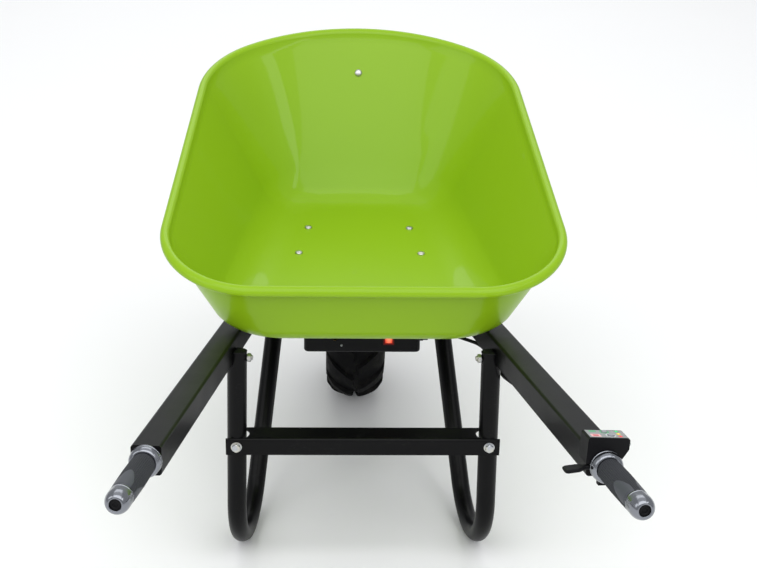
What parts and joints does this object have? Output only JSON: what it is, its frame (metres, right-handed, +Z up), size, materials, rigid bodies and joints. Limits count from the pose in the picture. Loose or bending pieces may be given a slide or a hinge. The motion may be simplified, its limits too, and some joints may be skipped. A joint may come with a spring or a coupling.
{
  "type": "electric wheelbarrow",
  "caption": "Electric wheelbarrow: pressed tray with rolled rim on a tube frame with leg loops, hub-motor wheel, battery box and thumb throttle on the right handle.",
  "frame": {"origin": "on the ground, under the middle of the overall box", "axes": "+X to the operator's right, +Y forward from the handles to the wheel, +Z up"},
  "size_m": [0.6698, 1.5283, 0.7658],
  "materials": {
    "tray_paint": "gloss lime-green paint",
    "frame_paint": "gloss black paint",
    "zinc": "zinc plated",
    "grip_rubber": "matte, ribbed",
    "polished_alloy": "polished",
    "black_plastic": "moulded, satin",
    "tyre_rubber": "matte",
    "cable_sheath": "smooth sheath",
    "motor_alloy": "cast, satin",
    "core_steel": "laminated",
    "copper": "enamelled copper wire",
    "magnet": "nickel plated",
    "battery_wrap": "shrink wrap",
    "panel_film": "printed film",
    "lamp_lens": "lens",
    "red_lens": "translucent red, lit",
    "grey_key": "moulded"
  },
  "bodies": {
    "frame": {"axle": "zinc", "axle_nuts": "zinc", "axle_spacers": "frame_paint", "battery_box": "black_plastic", "battery_pack": "battery_wrap", "box_lid": "black_plastic", "box_screws": "zinc", "brace_bolts": "zinc", "bracket_bolts": "zinc", "cable_clips": "black_plastic", "cable_glands": "black_plastic", "charge_socket": "black_plastic", "display_lamps": "lamp_lens", "display_panel": "panel_film", "front_hanger_bar": "frame_paint", "front_tray_support": "frame_paint", "grip_plugs": "black_plastic", "hanger_bolts": "zinc", "left_axle_bracket": "frame_paint", "left_grip": "grip_rubber", "left_grip_cap": "polished_alloy", "left_grip_flange": "polished_alloy", "left_leg": "frame_paint", "left_rail": "frame_paint", "leg_bolts": "zinc", "leg_brace": "frame_paint", "lid_bolts": "zinc", "motor_cable": "cable_sheath", "motor_controller": "motor_alloy", "nose_strut": "frame_paint", "rail_plugs": "black_plastic", "rear_hanger_bar": "frame_paint", "rear_tray_support": "frame_paint", "right_axle_bracket": "frame_paint", "right_grip": "grip_rubber", "right_grip_cap": "polished_alloy", "right_grip_flange": "polished_alloy", "right_leg": "frame_paint", "right_rail": "frame_paint", "stator_core": "core_steel", "stator_windings": "copper", "support_bolts": "zinc", "switch_bezel": "black_plastic", "throttle_cable": "cable_sheath", "throttle_housing": "black_plastic", "throttle_screws": "zinc", "tray": "tray_paint", "tray_bolts": "zinc"},
    "wheel": {"tyre": "tyre_rubber", "wheel_rim": "motor_alloy", "left_motor_cover": "motor_alloy", "right_motor_cover": "motor_alloy", "rotor_magnets": "magnet", "wheel_bearings": "zinc", "cover_screws": "zinc", "valve_stem": "cable_sheath"},
    "lever": {"thumb_lever": "black_plastic"},
    "rocker": {"switch_rocker": "red_lens"},
    "power_key": {"power_button": "grey_key"},
    "mode_key": {"mode_button": "grey_key"}
  },
  "joints": [
    {"name": "wheel_spin", "type": "hinge", "parent": "frame", "child": "wheel", "pos_m": [0, 0.564, 0.2], "axis": [-1, 0, 0], "continuous": true},
    {"name": "throttle_turn", "type": "hinge", "parent": "frame", "child": "lever", "pos_m": [0.29351, -0.61236, 0.49103], "axis": [0.1243, -0.9792, 0.1605], "range_deg": [0, 35], "stiffness_Nm_per_rad": 0.4},
    {"name": "switch_tilt", "type": "hinge", "parent": "frame", "child": "rocker", "pos_m": [0.0455, 0.02258, 0.37072], "axis": [1, 0, 0], "range_deg": [0, 18]},
    {"name": "power_press", "type": "slide", "parent": "frame", "child": "power_key", "axis": [-0.0692, -0.1699, -0.983], "range_m": [0, 0.0008], "stiffness_N_per_m": 600},
    {"name": "mode_press", "type": "slide", "parent": "frame", "child": "mode_key", "axis": [-0.0692, -0.1699, -0.983], "range_m": [0, 0.0008], "stiffness_N_per_m": 600}
  ]
}
